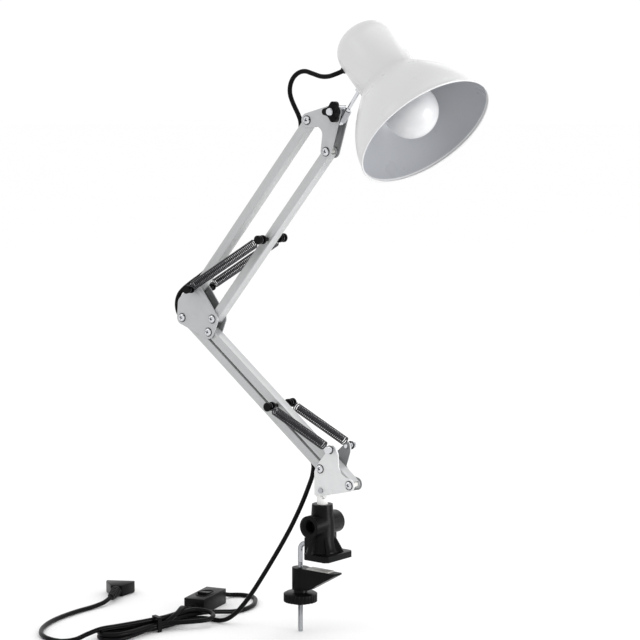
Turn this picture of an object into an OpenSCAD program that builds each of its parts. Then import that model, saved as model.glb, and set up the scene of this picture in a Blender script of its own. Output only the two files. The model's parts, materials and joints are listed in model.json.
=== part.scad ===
// Swing arm desk lamp with a screw clamp, sprung parallelogram arms and a spun shade.
// The origin is the centre of the post on the underside of the clamp foot, +Z is up
// and the arms stand in the XZ plane with the shade towards +X.

/* [Arms] */
// Distance between the pivots of each bar
bar_length = 263; // [245:1:275]
// Distance between the two pivots in each bracket
crank = 44; // [42:0.5:46]
// Angle of the lower arm above +X
lower_angle = 143; // [130:0.5:144]
// Angle of the upper arm above +X
upper_angle = 49.5; // [40:0.5:60]
// Depth of the bar channel across the arm
bar_depth = 10.4; // [9.8:0.1:10.6]
// Width of the bar channel from plate to plate
bar_width = 12.6; // [12:0.1:12.6]
// Wall of the bar channel
bar_wall = 1.2; // [1:0.1:1.4]

/* [Brackets] */
// Thickness of every bracket plate
plate = 1.5; // [1.2:0.1:1.6]
// Distance from the middle plane to the inner face of a plate
plate_gap = 6.7; // [6.7:0.1:7]
// Radius of the pivot screws
screw_r = 2; // [1.8:0.1:2.1]
// Distance from the middle plane to each spring
spring_y = 19.2; // [19:0.1:20]

/* [Shade] */
// Outer diameter of the shade's mouth
mouth_d = 160; // [150:1:165]
// Outer radius of the neck
neck_r = 34.7; // [34:0.1:36]
// Depth of the bell from the mouth to the neck
bell_depth = 76; // [70:1:80]
// Whole depth of the shade
shade_depth = 150; // [148:1:154]
// Wall of the shade
shade_wall = 1.2; // [1:0.1:1.4]
// Turn of the shade about its stem at rest
shade_turn = -5; // [-8:1:0]

/* [Bulb] */
// Diameter of the bulb's globe
bulb_d = 60; // [55:1:60]

/* [Clamp] */
// Diameter of the swivel post
post_d = 12.7; // [12:0.1:13]
// Outer diameter of the clamp collar
collar_d = 24; // [22:0.5:26]
// Height of the clamp collar above the desk
collar_top = 62; // [60:1:64]
// Length of the clamp foot along the plane of the arms
foot_length = 36; // [35:1:37]
// Width of the clamp foot across that plane
foot_width = 50; // [49:1:52]
// Height of the gap for the desk
desk_gap = 15; // [10:1:20]
// Diameter of the bent clamp bolt
bolt_d = 6; // [5.6:0.1:6.2]

/* [Mains cord] */
// Outer diameter of the cord
cord_d = 5.4; // [5:0.1:5.6]

/* [Hidden] */
$fn = 48;

// Small sizes shared by several parts
run_gap = 0.05;      // radial gap of a running fit
open_gap = 0.4;      // radial gap at the pivot that closes each parallelogram
head_r = 4.6;        // screw head radius
head_h = 2.8;        // screw head height
nut_r = 4;           // nut radius over its corners
nut_h = 3;
bush_r = 3.1;
pin_r = 2.4;         // spring pins and the elbow anchor pin
pin_end = 22;        // from the middle plane to a pin's end
spool_hub_r = 3.1;
spool_rim_r = 5.2;
hook_r = 4.3;        // radius of a spring's end ring
wire_r = 0.8;        // spring wire radius
spring_r = 5.1;      // spring outer radius
hook_reach = 9;      // from a pin's axis to the first turn
cord_r = cord_d / 2;
thin_r = cord_r - 0.2;         // the cord where it runs along the arms
outer_y = plate_gap + plate;

// Joints of the arms as [x, z] points
function polar(p, r, a) = p + r * [cos(a), sin(a)];
crank_low_angle = -19;
crank_up_angle = 128;
base_rear = [3, 104];
base_front = polar(base_rear, crank, crank_low_angle);
elbow_rear = polar(base_rear, bar_length, lower_angle);
elbow_low = polar(base_front, bar_length, lower_angle);
elbow_front = elbow_rear + [47.5, 1.5];
elbow_top = polar(elbow_front, crank, crank_up_angle);
head_front = polar(elbow_front, bar_length, upper_angle);
head_rear = polar(elbow_top, bar_length, upper_angle);
tilt_axis = head_front + [14.5, 44.5];
base_stud = [26, 130];
lower_pin = polar(base_front, 0.51 * bar_length, lower_angle);
upper_pin = polar(elbow_front, 0.49 * bar_length, upper_angle);

// Stem and shade
stem_angle = 53;
stem_r = 2.3;
stem_offset = 7;     // from the tilt axis to the stem's axis
stem_foot = tilt_axis + stem_offset * [sin(stem_angle), -cos(stem_angle)];
stem_wall = polar(stem_foot, 38.5, stem_angle);   // where the stem meets the neck
shade_tip = -44.4;   // tilt of the shade's axis from +Z, towards the arm
stem_level = 101;    // depth of the stem above the mouth
stem_in_shade = 98;  // angle from the shade's axis to the stem
cord_hole = [-33.8, 0, 131];   // the cord's hole, in the shade's own frame
cord_tilt = 20;      // tilt of the hole from the neck's radius towards its crown
mouth_r = mouth_d / 2;
neck_corner = 24;
sleeve_r = 5;        // the knuckle's sleeve around the stem
sleeve_half = 7;
spin_axis = [cos(stem_angle), 0, sin(stem_angle)];

// A point given in the shade's own frame, as a space point
function rot_y(p, a) =
    [p[0] * cos(a) + p[2] * sin(a), p[1], p[2] * cos(a) - p[0] * sin(a)];
function turned(p, v, a) = p * cos(a) + cross(v, p) * sin(a) + v * (v * p) * (1 - cos(a));
function from_shade(p) = [stem_wall[0], 0, stem_wall[1]]
    + turned(rot_y(p + [neck_r, 0, -stem_level], shade_tip), spin_axis, shade_turn);
// A point at the distance d out of the cord's hole
function out_of_hole(d) = from_shade(cord_hole + d * [-cos(cord_tilt), 0, sin(cord_tilt)]);

// Clamp
bolt_x = -32.5;
bolt_r = bolt_d / 2;
bolt_level = 12.5;
bolt_bend = 8;
bolt_end = -92;
foot_h = 7;
foot_x = 8;
foot_chamfer = 4;
socket_z = 38.5;
socket_half = 25;
socket_depth = 14;
socket_r = 13;
socket_lip = 3;       // depth of the tapered mouth of a socket
jaw_top = -desk_gap - 1.5;
jaw_h = 25.5;
jaw_end = jaw_top - jaw_h;
jaw_tip = 22.5;
jaw_half = 7.4;
pad_x = -19;
pad_length = 32;

// ---------------------------------------------------------------- helpers

// A cylinder along Y between y0 and y1 at the point p
module pin_y(p, r, y0, y1) {
    translate([p[0], y1, p[1]]) rotate([90, 0, 0]) cylinder(r = r, h = y1 - y0);
}

// A flat outline drawn in the XZ plane, thick from y0 to y1
module slab_y(y0, y1) {
    translate([0, y1, 0]) rotate([90, 0, 0]) linear_extrude(y1 - y0) children();
}

module dot(p, r) {
    translate(p) circle(r);
}

// A round screw with a cross slot in its head, the head at -Y
module screw(p, shank_end) {
    slot = [5.6, 3, 1.3];
    difference() {
        union() {
            pin_y(p, screw_r, -outer_y - 0.1, shank_end);
            translate([p[0], -outer_y, p[1]]) rotate([90, 0, 0]) rotate_extrude()
                polygon([[0, 0], [head_r, 0], [head_r, 0.9], [head_r - 0.6, 1.9],
                         [head_r - 1.6, 2.5], [0, head_h]]);
        }
        for (turn = [20, 110])
            translate([p[0], -outer_y - head_h, p[1]]) rotate([0, turn, 0])
                cube(slot, center = true);
    }
}

// A hexagon nut on the far side
module nut(p, bore) {
    difference() {
        translate([p[0], outer_y + nut_h, p[1]]) rotate([90, 0, 0])
            cylinder(r = nut_r, h = nut_h, $fn = 6);
        pin_y(p, bore, outer_y - 1, outer_y + nut_h + 1);
    }
}

// A channel bar from its pivot p at the angle a, open on its upper left side.
// near_r and far_r are the radii of its two pivot holes, mid_r that of a pin hole.
module channel(p, a, near_r, far_r, mid_at = 0, mid_r = 0) {
    half = bar_width / 2;
    translate([p[0], 0, p[1]]) rotate([0, -a, 0]) difference() {
        union() {
            for (side = [-1, 1]) {
                y0 = side > 0 ? half - bar_wall : -half;
                slab_y(y0, y0 + bar_wall) hull() {
                    circle(bar_depth / 2);
                    translate([bar_length, 0]) circle(bar_depth / 2);
                }
            }
            translate([0, -half, -bar_depth / 2]) cube([bar_length, bar_width, bar_wall]);
        }
        pin_y([0, 0], near_r, -half - 1, half + 1);
        pin_y([bar_length, 0], far_r, -half - 1, half + 1);
        if (mid_r > 0) pin_y([mid_at, 0], mid_r, -half - 1, half + 1);
    }
}

// Two spacer tubes inside a bar, around its pivots
module bushes(p, a, near_r, far_r) {
    half = bar_width / 2 - bar_wall;
    for (end = [[p, near_r], [polar(p, bar_length, a), far_r]]) difference() {
        pin_y(end[0], bush_r, -half, half);
        pin_y(end[0], end[1], -half - 1, half + 1);
    }
}

// A spool on each end of a spring pin
module spools(p) {
    inner = 13.6;
    outer = 24;
    rim = 2;
    cap = outer - pin_end;
    for (side = [-1, 1]) {
        lo = side > 0 ? inner : -outer;
        hi = side > 0 ? outer : -inner;
        difference() {
            union() {
                pin_y(p, spool_hub_r, lo, hi);
                pin_y(p, spool_rim_r, lo, lo + rim);
                pin_y(p, spool_rim_r, hi - rim, hi);
            }
            pin_y(p, pin_r, side > 0 ? lo - 1 : lo + cap, side > 0 ? hi - cap : hi + 1);
        }
    }
}

// A coil spring between the pins at p and q, drawn as its outer envelope with a ridge a turn
module spring(p, q, y) {
    turn = 2.4;
    reach = norm(q - p);
    body = reach - 2 * hook_reach;
    turns = floor(body / turn);
    step = body / turns;
    a = atan2(q[1] - p[1], q[0] - p[0]);
    bore = spring_r - 2.4;
    ridge = [for (i = [0:turns - 1], k = [0:2])
        [spring_r - [0.9, 0, 0.4][k], hook_reach + (i + [0, 0.35, 0.8][k]) * step]];
    outline = concat([[bore, hook_reach]], ridge,
                     [[spring_r - 0.9, reach - hook_reach], [bore, reach - hook_reach]]);
    translate([p[0], y, p[1]]) rotate([0, 90 - a, 0]) {
        rotate_extrude($fn = 32) polygon(outline);
        for (end = [0, 1]) translate([0, 0, end * reach]) {
            rotate([90, 0, 0]) rotate_extrude($fn = 32)
                translate([hook_r, 0]) circle(wire_r, $fn = 16);
            translate([0, 0, end > 0 ? -hook_reach - 1 : hook_r])
                cylinder(r = wire_r, h = hook_reach + 1 - hook_r, $fn = 16);
        }
        // the wire's last half turn closes the end of the coil
        for (z = [hook_reach - 0.8, reach - hook_reach])
            translate([0, 0, z]) cylinder(r = bore + 0.3, h = 0.8, $fn = 32);
    }
}

// A round tube swept along route, a list of points, with sides facets
function unit(v) = v / norm(v);
function heading(route, i) =
    unit(route[min(i + 1, len(route) - 1)] - route[max(i - 1, 0)]);
function carried(route, i) = i == 0
    ? unit(cross(heading(route, 0), abs(heading(route, 0)[1]) < 0.8 ? [0, 1, 0] : [0, 0, 1]))
    : let (h = heading(route, i), n = carried(route, i - 1)) unit(n - (n * h) * h);
module tube(route, r, sides = 8) {
    count = len(route);
    rings = [for (i = [0:count - 1])
        let (h = heading(route, i), n = carried(route, i), b = cross(h, n))
        for (k = [0:sides - 1])
            let (t = 360 * k / sides) route[i] + r * (cos(t) * n + sin(t) * b)];
    walls = [for (i = [0:count - 2], k = [0:sides - 1])
        let (a = i * sides, j = (k + 1) % sides)
        [a + k, a + j, a + sides + j, a + sides + k]];
    caps = [[for (k = [sides - 1:-1:0]) k],
            [for (k = [0:sides - 1]) (count - 1) * sides + k]];
    polyhedron(points = rings, faces = [for (f = concat(walls, caps))
        [for (m = [len(f) - 1:-1:0]) f[m]]]);
}

// Points in the plane of the arms, as space points
function flat(points) = [for (p = points) [p[0], 0, p[1]]];

// ---------------------------------------------------------------- clamp

module foot_outline() {
    a = foot_length / 2;
    b = foot_width / 2;
    c = foot_chamfer;
    polygon([[a, c - b], [a, b - c], [a - c, b], [c - a, b], [-a, b - c],
             [-a, c - b], [c - a, -b], [a - c, -b]]);
}

module clamp_body() color("#17181a") difference() {
    waist_r = 14.5;
    union() {
        translate([foot_x, 0, 0]) linear_extrude(foot_h) foot_outline();
        // collar and body around the post
        rotate_extrude() polygon([[0, 1], [18.5, 1], [18.5, foot_h + 1], [17, 11],
            [waist_r, 20], [waist_r, 40], [collar_d / 2 + 0.8, 50],
            [collar_d / 2, collar_top], [0, collar_top]]);
        // cross tube for hanging the lamp on an upright surface
        pin_y([0, socket_z], socket_r, -socket_half, socket_half);
        // ribs under the cross tube and in front
        for (side = [-1, 1]) translate([-3, 0, 0]) rotate([90, 0, 90]) linear_extrude(6)
            polygon([[side * 10, 6], [side * 24.5, 6], [side * 22.5, 13], [side * 22.5, 32],
                [side * 10, 32]]);
        for (side = [-1, 1]) rotate([0, 0, side * 35])
            slab_y(-2, 2) polygon([[8, 6], [25, 6], [14, 26], [8, 40]]);
        // boss that holds the bolt
        translate([-21, -7, 1]) cube([18, 14, 20]);
    }
    translate([0, 0, 8]) cylinder(d = post_d + 2 * run_gap, h = collar_top);
    for (side = [-1, 1]) {
        lo = side > 0 ? socket_half - socket_depth : -socket_half - 1;
        pin_y([0, socket_z], post_d / 2 + run_gap, lo, lo + socket_depth + 1);
        translate([0, side * (socket_half + 0.1), socket_z]) rotate([side * 90, 0, 0])
            cylinder(r1 = 9.2, r2 = post_d / 2 + run_gap, h = socket_lip + 0.1);
    }
    translate([-30, 0, bolt_level]) rotate([0, 90, 0]) cylinder(r = bolt_r, h = 22);
}

module clamp_bolt() color("#b9bcc0") {
    top = bolt_level - bolt_bend;
    translate([bolt_x, 0, bolt_end]) cylinder(r = bolt_r, h = top - bolt_end);
    translate([bolt_x + bolt_bend, 0, top]) rotate([90, 0, 0]) rotate([0, 0, 90])
        rotate_extrude(angle = 90) translate([bolt_bend, 0]) circle(bolt_r);
    translate([bolt_x + bolt_bend, 0, bolt_level]) rotate([0, 90, 0])
        cylinder(r = bolt_r, h = -8 - bolt_x - bolt_bend);
}

module lower_jaw() color("#151617") difference() {
    tube_r = 9.8;
    union() {
        translate([bolt_x, 0, jaw_end]) cylinder(r = tube_r, h = jaw_h);
        slab_y(-jaw_half, jaw_half) polygon([[bolt_x, jaw_top], [jaw_tip, jaw_top],
            [jaw_tip, jaw_top - 2], [-17, jaw_end + 1], [bolt_x, jaw_end]]);
    }
    translate([bolt_x, 0, jaw_end - 1]) cylinder(r = bolt_r + 0.3, h = jaw_h + 2);
    // seat for the pad
    translate([pad_x, -6, jaw_top - 1]) cube([pad_length, 12, 2]);
}

module jaw_pad() color("#b8b9ba")
    translate([pad_x + 0.2, -5.8, jaw_top - 1]) cube([pad_length - 0.4, 11.6, 2.5]);

module clamp_knob() color("#151617") {
    top = jaw_end - 0.3;
    grips = 28;
    grip_r = 19.6;
    translate([bolt_x, 0, 0]) difference() {
        union() {
            translate([0, 0, top - 4]) cylinder(r = 8, h = 4);
            translate([0, 0, top - 5]) cylinder(r1 = grip_r, r2 = grip_r - 3, h = 1.6, $fn = 96);
            translate([0, 0, top - 14]) cylinder(r = grip_r, h = 9, $fn = 96);
            translate([0, 0, top - 17]) cylinder(r1 = 9, r2 = 12, h = 3.5);
        }
        translate([0, 0, top - 20]) cylinder(r = bolt_r + run_gap, h = 22);
        for (i = [0:grips - 1]) rotate([0, 0, i * 360 / grips])
            translate([grip_r + 0.6, 0, top - 16]) cylinder(r = 1.3, h = 13, $fn = 16);
    }
}

// ---------------------------------------------------------------- base bracket

module swivel_post() color("#eeeeec") difference() {
    union() {
        translate([0, 0, 8.5]) cylinder(d = post_d, h = 63);
        translate([-4.7, -plate_gap + run_gap, 71]) cube([16, 2 * (plate_gap - run_gap), 15]);
    }
    pin_y([4, 79], 2, -8, 8);
    // cross hole under the plates
    pin_y([4.2, 70.8], 2.2, -8, -2);
}

module base_outline() {
    dot(base_front, 7.2);
    polygon([base_rear + [-8.2, -31], base_rear + [-8.2, -4], base_rear + [-5, 4],
        base_rear + [27, 4], base_rear + [30.5, -2.5], base_front + [-5, 8.5],
        base_front + [1, 7.1], base_front + [3.4, -6.4], base_rear + [11, -29.2]]);
}

// side is -1 for the near plate and 1 for the far one
module base_plate(side) difference() {
    lean = 14;
    seam = base_rear[1] + 4;
    reach = (base_stud[1] - seam) / cos(lean);
    mid = plate_gap + plate / 2;
    union() {
        slab_y(side > 0 ? plate_gap : -outer_y, side > 0 ? outer_y : -plate_gap)
            base_outline();
        translate([0, side * mid, seam]) rotate([-side * lean, 0, 0])
            slab_y(-plate / 2, plate / 2) hull() {
                translate([base_rear[0] - 4.5, -0.6]) square([31, 0.6]);
                translate([base_stud[0] - 9, reach - 7]) square([15, 2]);
                dot([base_stud[0], reach], 4.2);
            }
    }
    for (p = [base_rear, base_front]) pin_y(p, screw_r, -20, 20);
    pin_y([4, 79], 2, -20, 20);
    pin_y(base_stud, 2.2, -20, 20);
}
module base_plate_near() color("#dededf") base_plate(-1);
module base_plate_far() color("#c9c9cb") base_plate(1);

module base_rivet() color("#c6c8ca") {
    pin_y([4, 79], 2, -outer_y, outer_y);
    for (side = [-1, 1]) {
        lo = side > 0 ? outer_y : -outer_y - 1.2;
        pin_y([4, 79], 3.2, lo, lo + 1.2);
    }
}

module base_screws() color("#d5d7da")
    for (p = [base_rear, base_front]) screw(p, outer_y + nut_h + 1);
module base_nuts() color("#c2c4c7")
    for (p = [base_rear, base_front]) nut(p, screw_r);

module base_spring_studs() color("#d8dadd") for (side = [-1, 1]) {
    lo = side > 0 ? 9.5 : -24.2;
    pin_y(base_stud, 2.2, lo, lo + 14.7);
    rim = side > 0 ? 22.2 : -24.2;
    pin_y(base_stud, 4.2, rim, rim + 2);
}

// ---------------------------------------------------------------- lower arm

module lower_front_bar() color("#c8cacc")
    channel(base_front, lower_angle, screw_r + run_gap, screw_r + open_gap,
            0.51 * bar_length, pin_r);
module lower_rear_bar() color("#c8cacc")
    channel(base_rear, lower_angle, screw_r + run_gap, screw_r + run_gap);
module lower_bushes_front() color("#d8d8d6")
    bushes(base_front, lower_angle, screw_r + run_gap, screw_r + open_gap);
module lower_bushes_rear() color("#d8d8d6")
    bushes(base_rear, lower_angle, screw_r + run_gap, screw_r + run_gap);
module lower_spring_pin() color("#9a9ca0") pin_y(lower_pin, pin_r, -pin_end, pin_end);
module lower_spring_spools() color("#1a1b1c") spools(lower_pin);
module lower_springs() color("#3b3d40")
    for (side = [-1, 1]) spring(lower_pin, base_stud, side * spring_y);

// ---------------------------------------------------------------- elbow

module elbow_outline() hull() {
    dot(elbow_top, 8.6);
    dot(elbow_rear + [1.4, 17], 8.2);
    dot(elbow_rear, 8.2);
    dot(elbow_low, 8.2);
    dot(elbow_front, 9);
}
module elbow_plate(side) difference() {
    slab_y(side > 0 ? plate_gap : -outer_y, side > 0 ? outer_y : -plate_gap) elbow_outline();
    for (p = [elbow_rear, elbow_low, elbow_front]) pin_y(p, screw_r, -20, 20);
    pin_y(elbow_top, pin_r, -20, 20);
}
module elbow_plate_near() color("#bbbdbf") elbow_plate(-1);
module elbow_plate_far() color("#a5a7aa") elbow_plate(1);
module elbow_screws() color("#d5d7da")
    for (p = [elbow_rear, elbow_low, elbow_front]) screw(p, outer_y + nut_h + 1);
module elbow_nuts() color("#c2c4c7")
    for (p = [elbow_rear, elbow_low, elbow_front]) nut(p, screw_r);
module elbow_anchor_pin() color("#9a9ca0") pin_y(elbow_top, pin_r, -pin_end, pin_end);
module elbow_spools() color("#1a1b1c") spools(elbow_top);

// ---------------------------------------------------------------- upper arm

module upper_front_bar() color("#c8cacc")
    channel(elbow_front, upper_angle, screw_r + run_gap, screw_r + open_gap,
            0.49 * bar_length, pin_r);
module upper_rear_bar() color("#c8cacc")
    channel(elbow_top, upper_angle, pin_r + run_gap, screw_r + run_gap);
module upper_bushes_front() color("#d8d8d6")
    bushes(elbow_front, upper_angle, screw_r + run_gap, screw_r + open_gap);
module upper_bushes_rear() color("#d8d8d6")
    bushes(elbow_top, upper_angle, pin_r + run_gap, screw_r + run_gap);
module upper_spring_pin() color("#9a9ca0") pin_y(upper_pin, pin_r, -pin_end, pin_end);
module upper_spring_spools() color("#1a1b1c") spools(upper_pin);
module upper_springs() color("#3b3d40")
    for (side = [-1, 1]) spring(elbow_top, upper_pin, side * spring_y);

// ---------------------------------------------------------------- head bracket

module head_outline() offset(r = -9) offset(r = 9) {
    shoulder = tilt_axis + [-8, -4];
    hull() {
        dot(head_rear, 8);
        dot(shoulder, 11);
        dot(tilt_axis, 7);
    }
    hull() {
        dot(head_front, 7.6);
        dot(shoulder + [1, -3], 10);
        dot(tilt_axis, 7);
    }
}
module head_plate(side) difference() {
    slab_y(side > 0 ? plate_gap : -outer_y, side > 0 ? outer_y : -plate_gap) head_outline();
    for (p = [head_rear, head_front]) pin_y(p, screw_r, -20, 20);
    pin_y(tilt_axis, 2.5 + run_gap, -20, 20);
}
module head_plate_near() color("#bbbdbf") head_plate(-1);
module head_plate_far() color("#96989b") head_plate(1);
module head_screws() color("#d5d7da")
    for (p = [head_rear, head_front]) screw(p, outer_y + nut_h + 1);
module head_nuts() color("#c2c4c7") {
    for (p = [head_rear, head_front]) nut(p, screw_r);
    nut(tilt_axis, 2.5 + run_gap);
}

module tilt_screw() color("#d5d7da") {
    pin_y(tilt_axis, 2.5, -20, outer_y + nut_h + 1.5);
    translate([tilt_axis[0], -20, tilt_axis[1]]) rotate([90, 0, 0]) difference() {
        cylinder(r1 = 4.4, r2 = 3.6, h = 1.6);
        translate([-5, -0.6, 0.6]) cube([10, 1.2, 2]);
    }
}

module tilt_knob() color("#161718") difference() {
    lobe_at = 8.2;
    union() {
        pin_y(tilt_axis, 6.4, -19, -outer_y - 0.3);
        slab_y(-18.6, -11) for (a = [70, 180, 290]) hull() {
            dot(tilt_axis, 5.6);
            dot(polar(tilt_axis, lobe_at, a), 3.8);
        }
    }
    pin_y(tilt_axis, 2.5, -20, -5);
}

// ---------------------------------------------------------------- knuckle and stem

// Puts its children on the stem's axis, +Z up the stem from the foot of the tilt axis
module on_stem() {
    translate([stem_foot[0], 0, stem_foot[1]]) rotate([0, 90 - stem_angle, 0]) children();
}

module knuckle() color("#b4b6b9") difference() {
    half = plate_gap - 0.4;
    union() {
        pin_y(tilt_axis, 6.6, -half, half);
        on_stem() translate([0, 0, -sleeve_half]) cylinder(r = sleeve_r, h = 2 * sleeve_half);
    }
    pin_y(tilt_axis, 2.5 + run_gap, -half - 1, half + 1);
    on_stem() translate([0, 0, -20]) cylinder(r = stem_r + run_gap, h = 60);
}

module stem() color("#dcdddf") {
    on_stem() {
        translate([0, 0, -12]) cylinder(r = stem_r, h = 56);
        // collars above and below the sleeve, and the flange outside the neck
        translate([0, 0, -sleeve_half - 3.3]) cylinder(r = 3.8, h = 3);
        translate([0, 0, sleeve_half + 0.3]) cylinder(r = 3.8, h = 3);
        translate([0, 0, 33.2]) cylinder(r = 4.6, h = 3);
    }
}

// ---------------------------------------------------------------- shade

// Puts its children in the shade's frame: origin at the mouth's centre, +Z to the neck,
// -X to the stem
module in_shade() {
    translate([stem_wall[0], 0, stem_wall[1]]) rotate(a = shade_turn, v = spin_axis) rotate([0, shade_tip, 0])
        translate([neck_r, 0, -stem_level]) children();
}

// Puts its children on the cord's hole, +Z out of the neck
module at_cord_hole() {
    translate(cord_hole) rotate([0, cord_tilt - 90, 0]) children();
}

// The outer radius of the bell at the depth t
function bell_r(t) = neck_r + (mouth_r - 0.9 - neck_r) * (1 - pow(t / bell_depth, 1.75));

// The section of the shade's skin, moved in by inset
function skin(inset) = concat(
    [for (i = [0:12]) let (t = i * bell_depth / 12) [bell_r(t) - inset, t]],
    [for (a = [0:11.25:90]) let (top = shade_depth - neck_corner)
        [neck_r - neck_corner + (neck_corner - inset) * cos(a),
         top + (neck_corner - inset) * sin(a)]],
    [[0, shade_depth - inset]]);

module shade() color("#e4e5e6") in_shade() difference() {
    outer = skin(0);
    inner = skin(shade_wall);
    union() {
        rotate_extrude($fn = 128) polygon(concat(outer,
            [for (i = [len(inner) - 1:-1:0]) inner[i]]));
        // rolled rim
        rotate_extrude($fn = 128) translate([mouth_r - 1.2, 0.9]) circle(1.2, $fn = 24);
    }
    // holes for the stem, the cord and heat
    translate([-40, 0, stem_level]) rotate([0, stem_in_shade, 0])
        translate([0, 0, -3]) cylinder(r = 2.6, h = 14);
    at_cord_hole() translate([0, 0, -8]) cylinder(r = 4.2, h = 16);
}

// Collar around the cord where it leaves the neck
module neck_grommet() color("#1b1c1d") in_shade() at_cord_hole() difference() {
    union() {
        translate([0, 0, 0.2]) cylinder(r = 6, h = 2.8);
        translate([0, 0, -5]) cylinder(r = 4.1, h = 8);
        translate([0, 0, 2.9]) cylinder(r1 = 5, r2 = 3.8, h = 5);
    }
    translate([0, 0, -12]) cylinder(r = thin_r, h = 30);
}

// Steel strap that carries the lampholder on the stem's inner end
module holder_bracket() color("#a9abae") in_shade() difference() {
    union() {
        translate([-31.6, -7, 90]) cube([1.5, 14, 40.2]);
        translate([-31.6, -7, 128.8]) cube([43, 14, 1.4]);
    }
    translate([-40, 0, stem_level]) rotate([0, stem_in_shade, 0]) cylinder(r = 2.6, h = 14);
    translate([0, 0, 120]) cylinder(r = 4, h = 20);
    at_cord_hole() translate([0, 0, -14]) cylinder(r = 5, h = 20);
}

module lampholder() color("#1d1e20") in_shade() difference() {
    union() {
        translate([0, 0, 84]) cylinder(r = 19.5, h = 40);
        translate([0, 0, 124]) cylinder(r1 = 19.5, r2 = 12, h = 4.6);
        translate([0, 0, 128]) cylinder(r = 3.9, h = 7);
    }
    translate([0, 0, 83]) cylinder(r = 14.6, h = 36);
    translate([0, 0, 110]) cylinder(r = 2, h = 40);
}

module holder_contacts() color("#c9a24a") in_shade() {
    difference() {
        translate([0, 0, 90]) cylinder(r = 14.5, h = 26);
        translate([0, 0, 89]) cylinder(r = 13.9, h = 28);
    }
    translate([-5, -3, 117.4]) cube([10, 6, 1]);
}

// ---------------------------------------------------------------- bulb

bulb_mid = 32;       // depth of the globe's centre above the mouth
bulb_r = bulb_d / 2;
cap_level = 88;      // where the glass meets the cap

module bulb_globe() color([0.96, 0.96, 0.97]) in_shade() {
    start = 42;
    foot = 14.5;
    tangent = [bulb_r * cos(start), bulb_mid + bulb_r * sin(start)];
    glass = 1;
    inner_r = bulb_r - glass;
    rotate_extrude($fn = 96) polygon(concat(
        [[0, bulb_mid - bulb_r]],
        [for (a = [-80:10:start]) [bulb_r * cos(a), bulb_mid + bulb_r * sin(a)]],
        [tangent, [18.2, 60], [15.6, 68], [foot, 76], [foot - 0.6, cap_level],
         [foot - 0.6 - glass, cap_level], [foot - glass, 76], [15.6 - glass, 68],
         [18.2 - glass, 60]],
        [for (a = [start:-10:-80]) [inner_r * cos(a), bulb_mid + inner_r * sin(a)]],
        [[0, bulb_mid - inner_r]]));
}

module bulb_cap() color("#c4c6c9") in_shade()
    rotate_extrude($fn = 64) polygon(concat([[11.6, cap_level], [13.2, cap_level]],
        [for (i = [0:5], k = [0:1]) [12.4 + 0.9 * k, cap_level + 3 + 3.4 * i + 1.7 * k]],
        [[11, 111], [5.5, 115], [4.6, 117], [0, 117], [0, 115.8], [5, 114], [10.2, 110],
         [11.6, 108]]));

// ---------------------------------------------------------------- cord inside the arms

// Points along a bar, at distance d from its pivot p and h out of its open side
function in_bar(p, a, d, h) = p + d * [cos(a), sin(a)] + h * [-sin(a), cos(a)];
lay = 1.6;           // how far the cord lies from a bar's middle

// From the neck round to the upper bar, in the plane of the arms as [x, z]
head_loop = [[18, 549.5], [8.5, 547.2], [-2, 547.2], [-14, 550.3], [-25.2, 553],
    [-34.5, 551.2], [-42.1, 545.6], [-46.5, 537.2], [-47, 528.4], [-44.3, 520.5],
    [-34.1, 502.8], [-31.7, 497], [-31.4, 489], [-33.6, 481.5], [-39.8, 473.5]];
split_at = 2;        // the point where the shade's part of the cord ends

module neck_cord() color("#141415")
    tube(concat([out_of_hole(4.3), out_of_hole(9.8)],
                flat([for (i = [0:split_at]) head_loop[i]])), thin_r);
module head_cord() color("#141415")
    tube(flat(concat([head_loop[split_at] + [-0.9, 0.2]],
                     [for (i = [split_at + 1:len(head_loop) - 1]) head_loop[i]])), thin_r);

module bar_cord_upper() color("#141415")
    tube(flat([for (k = [[32, 3.4], [46, lay], [130, lay], [227.7, 2]])
        in_bar(elbow_top, upper_angle, k[0], k[1])]), thin_r);

module bar_cord_lower() color("#141415")
    tube(flat([for (k = [[32, 1.8], [120, lay], [220, lay], [231, 3.4]])
        in_bar(base_rear, lower_angle, k[0], k[1])]), thin_r);

elbow_route = concat(
    [for (k = [[31.4, 3.5], [20, 6], [9, 9]]) in_bar(elbow_top, upper_angle, k[0], k[1])],
    [for (k = [[-10, 7.4], [-26, -3.4], [-31.6, -8.9], [-35, -15.6], [-36, -23.2],
        [-34.3, -30.6], [-30.1, -37], [-25.7, -40.7]]) elbow_top + k],
    [for (k = [[250, 6], [240, 4.6], [231.6, 3.4]]) in_bar(base_rear, lower_angle, k[0], k[1])]);
module elbow_cord() color("#141415") tube(flat(elbow_route), thin_r);

// ---------------------------------------------------------------- mains cord on the floor

floor_z = bolt_end;
lay_yaw = 38;        // the cord is laid out along a line at this angle to the arms

// A point a along that line and b behind it, at the height h above the floor
function laid(p) = [p[0] * cos(lay_yaw) - p[1] * sin(lay_yaw),
    p[0] * sin(lay_yaw) + p[1] * cos(lay_yaw), floor_z + p[2]];
function laid_all(points) = [for (p = points) laid(p)];

lead_drop = [[-21.5, 0, 120.2], [-16, 0, 114], [-12.8, 0, 103], [-15, 0, 92],
    [-20, 0, 80], [-26.5, -0.5, 65], [-34.5, -2, 47.5], [-44, -4.5, 28], [-54.5, -8, 8],
    [-65.5, -12, -12], [-77, -16, -32], [-88, -20, -50.5], [-98, -24, -65.5],
    [-108, -27.5, -77.5], [-118.5, -30, -85.5]];
module mains_lead() color("#141415")
    tube(concat(lead_drop, laid_all([[-122, 55.5, 2.8], [-133, 62, 2.8]])), cord_r);

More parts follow.
